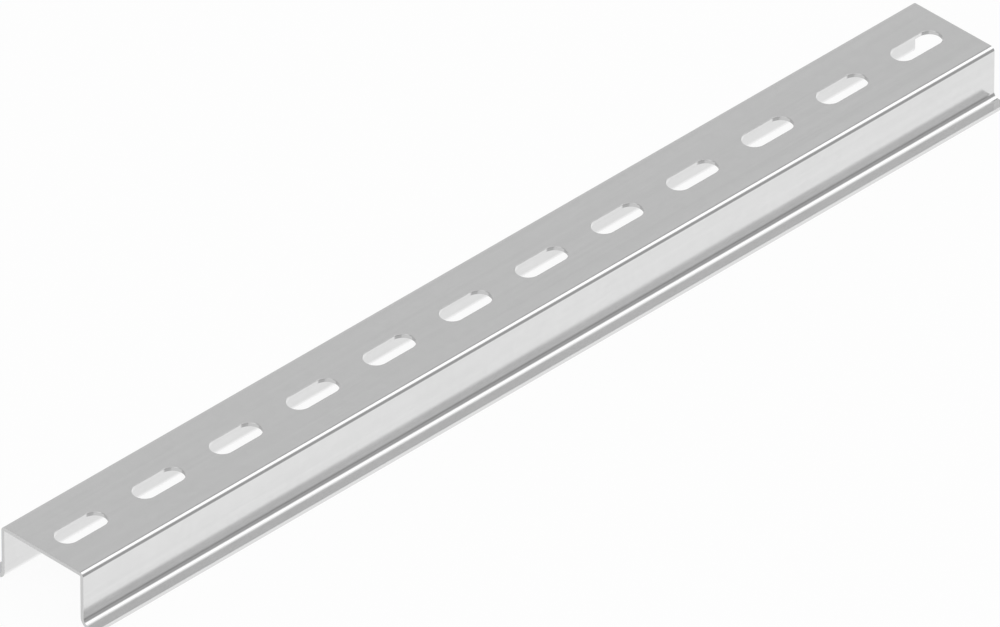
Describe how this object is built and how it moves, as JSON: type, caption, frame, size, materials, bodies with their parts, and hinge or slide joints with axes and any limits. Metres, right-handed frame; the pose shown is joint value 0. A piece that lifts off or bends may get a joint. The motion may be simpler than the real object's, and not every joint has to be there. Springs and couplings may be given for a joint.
{
  "type": "din rail",
  "caption": "Slotted top-hat mounting rail of galvanised steel, rolled from one strip, that clip-on electrical devices hook on to by its two lips.",
  "frame": {"origin": "under the middle of the rail, level with the front faces of its two lips", "axes": "+X along the rail, +Y across it, +Z from the lips to the web's outer face"},
  "size_m": [0.3, 0.035, 0.015],
  "materials": {
    "galvanised_steel": "smooth galvanised, satin"
  },
  "bodies": {
    "root": {"top_hat_rail": "galvanised_steel"}
  },
  "joints": []
}
